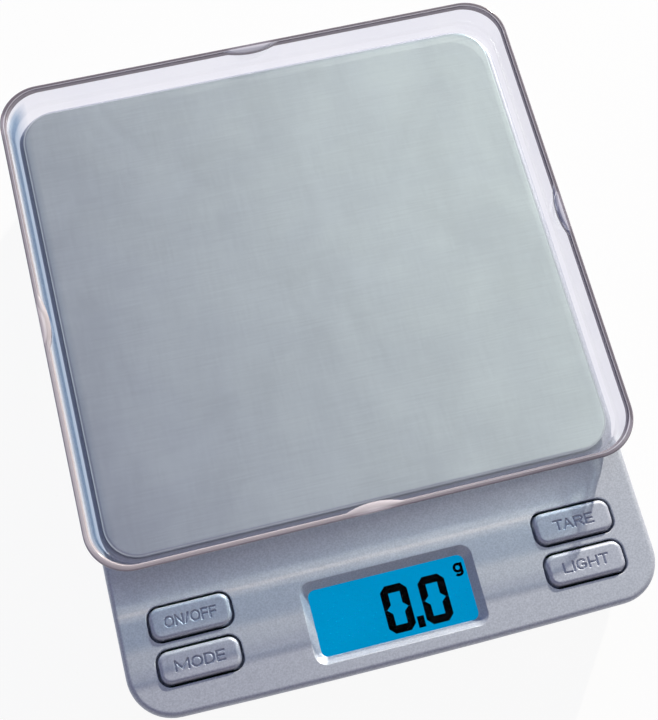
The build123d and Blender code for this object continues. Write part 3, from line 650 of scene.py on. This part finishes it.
cell_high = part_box("battery_cells")[1]
sleeve_dark = (0.045, 0.05, 0.06)
sleeve_gold = (0.52, 0.45, 0.30)
gold_length = 14 * mm
gold_blur = 0.2 * mm
nickel_colour = (0.66, 0.63, 0.57)
foam_shade = (0.012, 0.012, 0.012)
foam_light = (0.04, 0.04, 0.04)

cell_sleeve, shader = new_finish("cell_sleeve", sleeve_dark, roughness=0.25, metallic=0.4)
gold_start = cell_high.y - gold_length
gold_end = remap(cell_sleeve, own_axes(cell_sleeve)["Y"], start=gold_start, stop=gold_start + gold_blur)
link(cell_sleeve, blend_colours(cell_sleeve, gold_end, sleeve_dark, sleeve_gold, start=0.4, stop=0.6),
     shader.inputs["Base Color"])
shader.inputs["Coat Weight"].default_value = 0.6
dress(cell_sleeve, "battery_cells")

nickel, shader = new_finish("nickel_plate", nickel_colour, roughness=0.24, metallic=1.0)
nickel_tone = noise(nickel, size=2 * mm, detail=3.0, stretch=(1, 1, 6))
link(nickel, remap(nickel, nickel_tone, low=0.18, high=0.36), shader.inputs["Roughness"])
relief(nickel, shader, nickel_tone, depth=0.01 * mm)
dress(nickel, "battery_springs", "battery_contacts")

foam = moulded("door_foam", foam_shade, foam_light, roughness=0.95, size=0.6 * mm, depth=0.2 * mm)
dress(foam, "battery_door_pad")


# ---- Load cell and platform ----
# A milled aluminium beam is bolted to the floor at one end. Its free end lifts a sheet bracket,
# and four legs of a ribbed moulded carrier stand on that. Foil gauges are glued over the flexures.

beam_shade = (0.66, 0.67, 0.68)
beam_light = (0.78, 0.79, 0.80)
foil_copper = (0.62, 0.30, 0.06)
foil_dark = (0.42, 0.16, 0.04)
foil_stripes = 900
carrier_shade = (0.022, 0.024, 0.026)
carrier_light = (0.038, 0.040, 0.042)
silicone_shade = (0.50, 0.50, 0.50)
silicone_light = (0.60, 0.60, 0.60)

beam_metal, shader = new_finish("milled_aluminium", beam_light, roughness=0.34, metallic=1.0)
mill_marks = noise(beam_metal, size=0.3 * mm, stretch=(0.08, 1, 1))
link(beam_metal, remap(beam_metal, mill_marks, low=0.24, high=0.44), shader.inputs["Roughness"])
link(beam_metal, blend_colours(beam_metal, mill_marks, beam_shade, beam_light), shader.inputs["Base Color"])
relief(beam_metal, shader, mill_marks, depth=0.008 * mm, edge=0.2 * mm)
dress(beam_metal, "load_cell", "load_cell_spacer", "bracket_spacer", "platform_bracket")

gauge_foil, shader = new_finish("gauge_foil", foil_copper, roughness=0.3)
link(gauge_foil, blend_colours(gauge_foil, stripes(gauge_foil, foil_stripes, "Y"), foil_copper, foil_dark,
                               start=0.45, stop=0.55), shader.inputs["Base Color"])
shader.inputs["Coat Weight"].default_value = 0.7
dress(gauge_foil, "strain_gauges")

carrier_moulding = moulded("carrier_moulding", carrier_shade, carrier_light, roughness=0.5,
                           size=0.5 * mm, depth=0.015 * mm, edge=0.3 * mm)
dress(carrier_moulding, "platform_carrier")

silicone = moulded("silicone_pads", silicone_shade, silicone_light, roughness=0.7, size=0.6 * mm,
                   depth=0.01 * mm)
dress(silicone, "plate_pads")


# ---- Wires ----
# Stranded copper in red PVC: four thin signal wires from the load cell, and two power wires from
# the battery contacts. Both sets end in the board's headers.

wire_shade = (0.42, 0.02, 0.02)
wire_light = (0.60, 0.05, 0.04)

wire_sheath, shader = new_finish("wire_sheath", wire_light, roughness=0.38)
wire_tone = noise(wire_sheath, size=1.5 * mm)
link(wire_sheath, blend_colours(wire_sheath, wire_tone, wire_shade, wire_light),
     shader.inputs["Base Color"])
relief(wire_sheath, shader, wire_tone, depth=0.01 * mm)
dress(wire_sheath, "battery_wires", "load_cell_wires")


# ---- Screws and feet ----
# Zinc plated self-tapping screws hold the shells, and pan head machine screws the load cell.
# The four feet are soft dark rubber discs glued into shallow recesses.

zinc_shade = (0.50, 0.50, 0.50)
zinc_light = (0.70, 0.70, 0.70)
foot_shade = (0.018, 0.018, 0.020)
foot_light = (0.035, 0.035, 0.038)

screw_metal, shader = new_finish("zinc_plate", zinc_light, roughness=0.3, metallic=1.0)
screw_tone = noise(screw_metal, size=1.2 * mm, detail=3.0)
link(screw_metal, blend_colours(screw_metal, screw_tone, zinc_shade, zinc_light),
     shader.inputs["Base Color"])
relief(screw_metal, shader, screw_tone, depth=0.01 * mm, edge=0.15 * mm)
dress(screw_metal, "housing_screws", "board_screws", "load_cell_screws", "bracket_screws",
      "carrier_screws", "overload_stops")

foot_rubber = moulded("foot_rubber", foot_shade, foot_light, roughness=0.8, size=0.5 * mm,
                      depth=0.03 * mm, edge=0.4 * mm)
dress(foot_rubber, "rubber_feet")


# ---- Weighing plate ----
# Stainless steel sheet, 0.8 mm, pressed over at the edges and brushed in fine strokes.
# It lies on four silicone pads. The strokes give the reflections their soft, streaked spread.

steel_shade = (0.630, 0.690, 0.680)
steel_light = (0.735, 0.805, 0.785)
stroke_width = 0.42 * mm
stroke_stretch = 0.03
cross_share = 0.35
cloud_size = 22 * mm
cloud_share = 0.5

brushed_steel, shader = new_finish("brushed_steel", steel_light, roughness=0.36, metallic=1.0)
strokes = noise(brushed_steel, stroke_width, detail=3.0, stretch=(stroke_stretch, 1, 1),
                turn=math.radians(2))
cross = noise(brushed_steel, 2 * stroke_width, detail=3.0, stretch=(1, 3 * stroke_stretch, 1),
              turn=math.radians(-8))
clouds = noise(brushed_steel, cloud_size, detail=4.0, stretch=(1, 0.7, 1), turn=math.radians(30),
               stray=0.8)
weave = mix_colours(brushed_steel, cross_share, strokes, cross)
tone = mix_colours(brushed_steel, cloud_share, weave, clouds)
link(brushed_steel, blend_colours(brushed_steel, tone, steel_shade, steel_light, start=0.38, stop=0.62),
     shader.inputs["Base Color"])
link(brushed_steel, remap(brushed_steel, weave, low=0.30, high=0.44), shader.inputs["Roughness"])
relief(brushed_steel, shader, weave, depth=0.006 * mm)
dress(brushed_steel, "platform_plate")


# ---- Clear tray ----
# Moulded in one piece from clear polystyrene, polished inside and out, and loose on the plate.
# It is the scale's lid turned over: thin flared walls, and a finger recess under the rim at the
# middle of each side, where the rim stays straight and bridges it.

tray_low, tray_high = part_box("clear_tray")
tray_width = tray_high.x - tray_low.x
tray_length = tray_high.y - tray_low.y
tray_middle = (tray_low.y + tray_high.y) / 2
tray_height = tray_high.z - tray_low.z
tray_corner = 12.0 * mm
tray_flare = 2.2 * mm
tray_wall = 1.5 * mm
tray_floor = 1.6 * mm
foot_round = 1.2 * mm
rim_round = 0.38 * mm
tray_lift = 0.04 * mm
recess_depth = 1.4 * mm
recess_chord = 15.4 * mm
recess_rim = 1.4 * mm
recess_gap = 0.05 * mm
shelf_gap = 0.15 * mm
under_rings = (6 * mm, 2 * mm)
floor_rings = (1.5 * mm, 5 * mm)
straight_rim = 0.7 * tray_wall
straight_foot = 0.2 * tray_floor
recess_shares = (0.42, 0.58)
recess_steps = 44
side_steps = 10
tray_arc_steps = 22
tray_tint = (0.880, 0.875, 0.955)
tray_light = (0.905, 0.900, 0.970)
tray_shadow = (0.62, 0.72, 0.78)
tray_roughness = 0.03
flow_size = 12 * mm
flow_depth = 0.02 * mm
edge_on_share = 0.1
# Painted light streaks: at these heights above its foot the tray's wall passes more of the lamp's light
# than falls on it, by the gain below, painting bright streaks on the deck in place of the light the wall
# focuses.
painted_streak_gain = (1.18, 1.15, 1.10)
painted_streak_blur = 0.1 * mm
foot_painted_streak = (1.85 * mm, 2.6 * mm, 1.0)
wall_painted_streak = (6.0 * mm, 8.3 * mm, 0.55)
wall_painted_line = (5.7 * mm, 6.1 * mm, 0.6)
mirror_clear = (0.97, 0.97, 0.98)
# Painted shade: a dark blue band at the foot of the tray's left wall, standing in for the shaded deck
# margin seen through it.
left_painted_shade = (0.27, 0.38, 0.56)
left_reach = (8 * mm, 4 * mm)
left_heights = (1.2 * mm, 4.6 * mm)
left_blur = 1.2 * mm
# Painted light and shade: the rim's and the recess shelf's colours at the tray's far right and near left
# corners; the rim is painted dark at the far right and lit at the near left.
rim_far_shade = (0.27, 0.235, 0.285)
rim_near_lit = (0.68, 0.605, 0.635)
recess_far_painted = (0.80, 0.79, 0.88)
recess_near_painted = (0.76, 0.69, 0.715)
rim_shadow = (0.72, 0.74, 0.78)
rim_roughness = 0.16
rim_clearness = 0.35


def side_fractions(dense_from, dense_to, coarse, dense):
    """Shares along a straight side from 0 to 1, with closer steps between two of them."""
    return np.concatenate((np.linspace(0, dense_from, coarse, endpoint=False),
                           np.linspace(dense_from, dense_to, dense, endpoint=False),
                           np.linspace(dense_to, 1, coarse, endpoint=False)))


def wall_points(inset, start, stop, steps):
    """Points up or down one face of the wall, which lies inset from the outer one: at each height
    out = -inset - flare * (1 - height / full height)."""
    heights = np.linspace(start, stop, steps)
    return np.stack((-inset - tray_flare * (1 - heights / tray_height), heights), 1)


def tray_profile():
    """The wall's section as (outwards from the rim's outer line, height above the plate) pairs: from
    under the floor, round the foot, up the leaning wall, over the rim, and down inside to the floor.
    Each round is tangent to the wall. A third number says where a point is: 0 under the rim, 1 on
    its edges, 2 inside, 3 on its top."""
    lean = math.atan2(tray_flare, tray_height)
    foot = -tray_flare - foot_round * (1 - math.sin(lean)) / math.cos(lean)
    ledge = tray_height - recess_rim
    top = tray_height - rim_round
    low = tray_floor + foot_round
    under = np.array([(foot - inset, 0.0) for inset in under_rings])
    outer = quarter(-90, -math.degrees(lean), 9, foot_round, foot, foot_round)
    wall = wall_points(0.0, outer[-1, 1], ledge - recess_gap, 9)[1:]
    band = wall_points(0.0, ledge, top, 4)
    edge = quarter(0, 90, 6, rim_round, band[-1, 0] - rim_round, top)[1:]
    shelf = np.array([(-tray_wall + rim_round + shelf_gap, tray_height)])
    inner_edge = quarter(90, 180, 6, rim_round, -tray_wall + rim_round, top)
    inner_edge[:, 0] -= tray_flare * rim_round / tray_height
    inside = wall_points(tray_wall, top, low, 9)[1:]
    inner_foot = quarter(0, -90, 8, foot_round, inside[-1, 0] - foot_round, low)[1:]
    floor = np.array([(inner_foot[-1, 0] - inset, tray_floor) for inset in floor_rings])
    parts = ((under, 0), (outer, 0), (wall, 0), (band, 1), (edge, 1), (shelf, 3), (inner_edge, 1),
             (inside, 2), (inner_foot, 2), (floor, 2))
    return np.concatenate([np.column_stack((points, np.full(len(points), side))) for points, side in parts])


def tray_rows():
    """Carries the section round the tray. At a recess the inner face follows a circle about a point
    outside the wall, and the outer face under the rim follows the same circle less the wall. The
    outer part of the rim and the tray's underside stay straight."""
    bend = (recess_chord ** 2 / 4 + recess_depth ** 2) / (2 * recess_depth)
    far = bend - tray_wall - recess_depth
    shares = side_fractions(*recess_shares, side_steps, recess_steps)
    rows = []
    for out, up, side in tray_profile():
        corner = tray_corner + out / 2
        plan, normal, along = outline(tray_width + 2 * out, tray_length + 2 * out, corner, tray_arc_steps,
                                      shares)
        radius = bend - tray_wall if side == 0 else bend
        reach = np.sqrt(np.maximum(radius ** 2 - along ** 2, 0)) - far
        reach[np.abs(along) > radius] = 0
        extra = np.maximum(reach + out, 0)
        if side in (1, 3) and out > -straight_rim or up < straight_foot:
            extra = 0 * extra
        plan = plan - normal * extra[:, None]
        height = np.full(len(plan), tray_low.z + tray_lift + up * (1 - tray_lift / tray_height))
        rows.append(np.column_stack((plan[:, 0], plan[:, 1] + tray_middle, height)))
    return rows


def mix_shaders(material, share, first, second):
    """The first shader where the share is nothing, and the second where it is one."""
    node = add(material, "ShaderNodeMixShader")
    link(material, share, node.inputs["Fac"])
    link(material, first, node.inputs[1])
    link(material, second, node.inputs[2])
    return node.outputs[0]


def height_band(material, low, high, blur):
    """One between two heights above the tray's foot, fading to nothing over a blur below and above."""
    height = own_axes(material)["Z"]
    low, high = tray_low.z + low, tray_low.z + high
    rise = remap(material, height, start=low - blur, stop=low)
    fall = remap(material, height, start=high + blur, stop=high)
    return reckon(material, "MULTIPLY", rise, fall)


def near_side(material):
    """Nothing at the tray's far right corner, and one at its near left corner."""
    side = add(material, "ShaderNodeVectorMath", operation="DOT_PRODUCT")
    side.inputs[1].default_value = (-0.5 / tray_width, -0.5 / tray_length, 0)
    link(material, own_place(material), side.inputs[0])
    return reckon(material, "ADD", side.outputs["Value"], 0.5)


def clear_moulding(name, tint, roughness, clearness, shadow, glow):
    """Clear plastic: a polished refracting skin, faintly uneven. For shadow and diffuse rays it is a plain
    filter, darker edge on, because light does pass through it to what lies beneath. At bands of the
    wall's height the filter passes more light than falls on it: painted light streaks on what lies
    beneath, in place of the light the curved wall focuses. What the steel under the tray mirrors is
    seen through plain clear plastic: such a ray has been refracted more than once and bounced at least
    once."""
    material, shader = new_finish(name, tint, roughness)
    shader.inputs["Transmission Weight"].default_value = clearness
    flow = noise(material, flow_size)
    relief(material, shader, flow, flow_depth)
    path = add(material, "ShaderNodeLightPath").outputs
    skim = add(material, "ShaderNodeLayerWeight")
    skim.inputs["Blend"].default_value = 0.3
    deep = tuple(edge_on_share * part for part in shadow)
    colour = blend_colours(material, skim.outputs["Facing"], shadow, deep, start=0.30, stop=0.60)
    # Painted light streaks: each band of the wall lets through more light than reaches it.
    for low, high, share in glow:
        painted_streak = reckon(material, "MULTIPLY", height_band(material, low, high, painted_streak_blur), share)
        colour = mix_colours(material, painted_streak, colour, painted_streak_gain)
    sheer = add(material, "ShaderNodeBsdfTransparent")
    link(material, colour, sheer.inputs["Color"])
    filtered = reckon(material, "MAXIMUM", path["Is Shadow Ray"], path["Is Diffuse Ray"])
    skin = mix_shaders(material, filtered, shader.outputs[0], sheer.outputs[0])
    bounced = reckon(material, "GREATER_THAN", path["Glossy Depth"], 0.5)
    passed = reckon(material, "GREATER_THAN", path["Transmission Depth"], 1.5)
    plain = add(material, "ShaderNodeBsdfTransparent")
    plain.inputs["Color"].default_value = (*mirror_clear, 1)
    shown = mix_shaders(material, reckon(material, "MULTIPLY", bounced, passed), skin, plain.outputs[0])
    link(material, shown, material.node_tree.nodes["Material Output"].inputs["Surface"])
    return material, shader, flow


clear_styrene, shader, flow = clear_moulding("clear_styrene", tray_light, tray_roughness, 1.0, tray_shadow,
                                             (foot_painted_streak, wall_painted_streak, wall_painted_line))
# Painted shade: the foot of the left wall is tinted dark blue where the shaded deck shows through.
left_wall = remap(clear_styrene, own_axes(clear_styrene)["X"], start=tray_low.x + left_reach[0],
                  stop=tray_low.x + left_reach[1])
left_band = height_band(clear_styrene, *left_heights, left_blur)
left_shade_mask = reckon(clear_styrene, "MULTIPLY", left_wall, left_band)
wall_colour = blend_colours(clear_styrene, flow, tray_tint, tray_light)
link(clear_styrene, mix_colours(clear_styrene, left_shade_mask, wall_colour, left_painted_shade),
     shader.inputs["Base Color"])

tray_finishes = [clear_styrene]
# Painted light and shade: the rim and the recess shelf blend from their far right colour to their near left
# one across the tray.
for finish_name, far_painted, near_painted in (("rim_styrene", rim_far_shade, rim_near_lit),
                                         ("recess_styrene", recess_far_painted, recess_near_painted)):
    material, shader, flow = clear_moulding(finish_name, near_painted, rim_roughness, rim_clearness,
                                            rim_shadow, ())
    link(material, blend_colours(material, near_side(material), far_painted, near_painted, start=0.40, stop=0.72),
         shader.inputs["Base Color"])
    tray_finishes.append(material)

rim_line = tray_height - rim_round - 0.01 * mm
row_finish = [2 if side == 3 else int(side == 1 and up > rim_line) for out, up, side in tray_profile()]
tray = closed_surface("tray", tray_rows(), tray_finishes, finish=row_finish)
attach(tray, "tray")
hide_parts("clear_tray")


# ---- Floor, light and camera ----
# A white table that keeps a soft shadow, a warm lamp low at the back right, a dim room, warm in
# front and blue behind, and a sky that only polished and clear surfaces show, palest high on the
# right. The camera is above the front left, a little turned.

floor_reach = 3.0
table_white = (0.84, 0.84, 0.84)
table_near = (0.12, 0.93)
table_far = (0.55, 1.0)
lamp_turn = math.radians(50)
lamp_rise = math.radians(18.4)
lamp_distance = 2.5
lamp_size = 0.055
lamp_power = 120.0
lamp_colour = (1.0, 0.93, 0.79)
front_fill = (0.32, 0.24, 0.15)
back_fill = (0.02, 0.12, 0.43)
pure_white = (1.0, 1.0, 1.0)
sky_turn = math.radians(23)
sky_dim = (0.285, 0.275, 0.38)
sky_bright = (1.20, 1.25, 1.13)
sky_bright_from = 0.48
wall_dim = (0.50, 0.48, 0.52)
wall_top = 0.45
sky_foot = 0.80
camera_place = (-47.56 * mm, -119.22 * mm, 396.21 * mm)
camera_angles = (18.376, -2.815, -14.313)
camera_lens = 68.64

floor_corners = np.array([(-1, -1, 0), (1, -1, 0), (1, 1, 0), (-1, 1, 0)]) * floor_reach
floor_mesh = bpy.data.meshes.new("floor")
floor_mesh.from_pydata(floor_corners.tolist(), [], [(0, 1, 2, 3)])
floor = bpy.data.objects.new("floor", floor_mesh)
bpy.context.scene.collection.objects.link(floor)

white_table, shader = new_finish("white_table", table_white, roughness=0.7)
path = add(white_table, "ShaderNodeLightPath").outputs
from_middle = add(white_table, "ShaderNodeVectorMath", operation="LENGTH")
link(white_table, own_place(white_table), from_middle.inputs[0])
table_share = remap(white_table, from_middle.outputs["Value"], table_near[1], table_far[1],
                    start=table_near[0], stop=table_far[0])
seen = reckon(white_table, "MAXIMUM", path["Is Camera Ray"], path["Is Glossy Ray"])
seen = reckon(white_table, "MAXIMUM", seen, path["Is Transmission Ray"])
plain_white = add(white_table, "ShaderNodeEmission")
table_shown = mix_shaders(white_table, reckon(white_table, "MULTIPLY", seen, table_share),
                          shader.outputs[0], plain_white.outputs[0])
link(white_table, table_shown, white_table.node_tree.nodes["Material Output"].inputs["Surface"])
floor_mesh.materials.append(white_table)

room = bpy.data.worlds.new("room")
bpy.context.scene.world = room
room.use_nodes = True
path = add(room, "ShaderNodeLightPath").outputs
direction = add(room, "ShaderNodeTexCoord").outputs["Generated"]
split = add(room, "ShaderNodeSeparateXYZ")
link(room, direction, split.inputs["Vector"])

fill_share = remap(room, split.outputs["Y"], start=-1.0)
fill_light = room.node_tree.nodes["Background"]
link(room, blend_colours(room, fill_share, front_fill, back_fill, start=0.0, stop=1.0),
     fill_light.inputs["Color"])

sky_side = add(room, "ShaderNodeVectorMath", operation="DOT_PRODUCT")
sky_side.inputs[1].default_value = (math.cos(sky_turn), math.sin(sky_turn), 0)
link(room, direction, sky_side.inputs[0])
high_sky = blend_colours(room, sky_side.outputs["Value"], sky_dim, sky_bright, start=0.0,
                         stop=sky_bright_from)
low_sky = mix_colours(room, path["Is Transmission Ray"], wall_dim, pure_white)
overhead = remap(room, split.outputs["Z"], start=wall_top, stop=sky_foot)
sky_light = add(room, "ShaderNodeBackground")
link(room, mix_colours(room, overhead, low_sky, high_sky), sky_light.inputs["Color"])

plain_sky = add(room, "ShaderNodeBackground")
plain_sky.inputs["Color"].default_value = (*pure_white, 1)
mirrored = reckon(room, "MAXIMUM", path["Is Glossy Ray"], path["Is Transmission Ray"])
room_shown = mix_shaders(room, mirrored, fill_light.outputs[0], sky_light.outputs[0])
room_shown = mix_shaders(room, path["Is Camera Ray"], room_shown, plain_sky.outputs[0])
link(room, room_shown, room.node_tree.nodes["World Output"].inputs["Surface"])

lamp_data = bpy.data.lights.new("lamp", "AREA")
lamp_data.shape = "DISK"
lamp_data.size = lamp_size
lamp_data.energy = lamp_power
lamp_data.color = lamp_colour
lamp = bpy.data.objects.new("lamp", lamp_data)
bpy.context.scene.collection.objects.link(lamp)
lamp.location = (lamp_distance * math.cos(lamp_rise) * math.cos(lamp_turn),
                 lamp_distance * math.cos(lamp_rise) * math.sin(lamp_turn),
                 lamp_distance * math.sin(lamp_rise))
lamp.rotation_euler = (math.radians(90) - lamp_rise, 0, math.radians(90) + lamp_turn)

camera_data = bpy.data.cameras.new("camera")
camera_data.lens = camera_lens
camera_data.sensor_width = 36
camera = bpy.data.objects.new("camera", camera_data)
bpy.context.scene.collection.objects.link(camera)
camera.location = camera_place
camera.rotation_euler = [math.radians(angle) for angle in camera_angles]
bpy.context.scene.camera = camera
bpy.context.scene.view_settings.view_transform = "Standard"
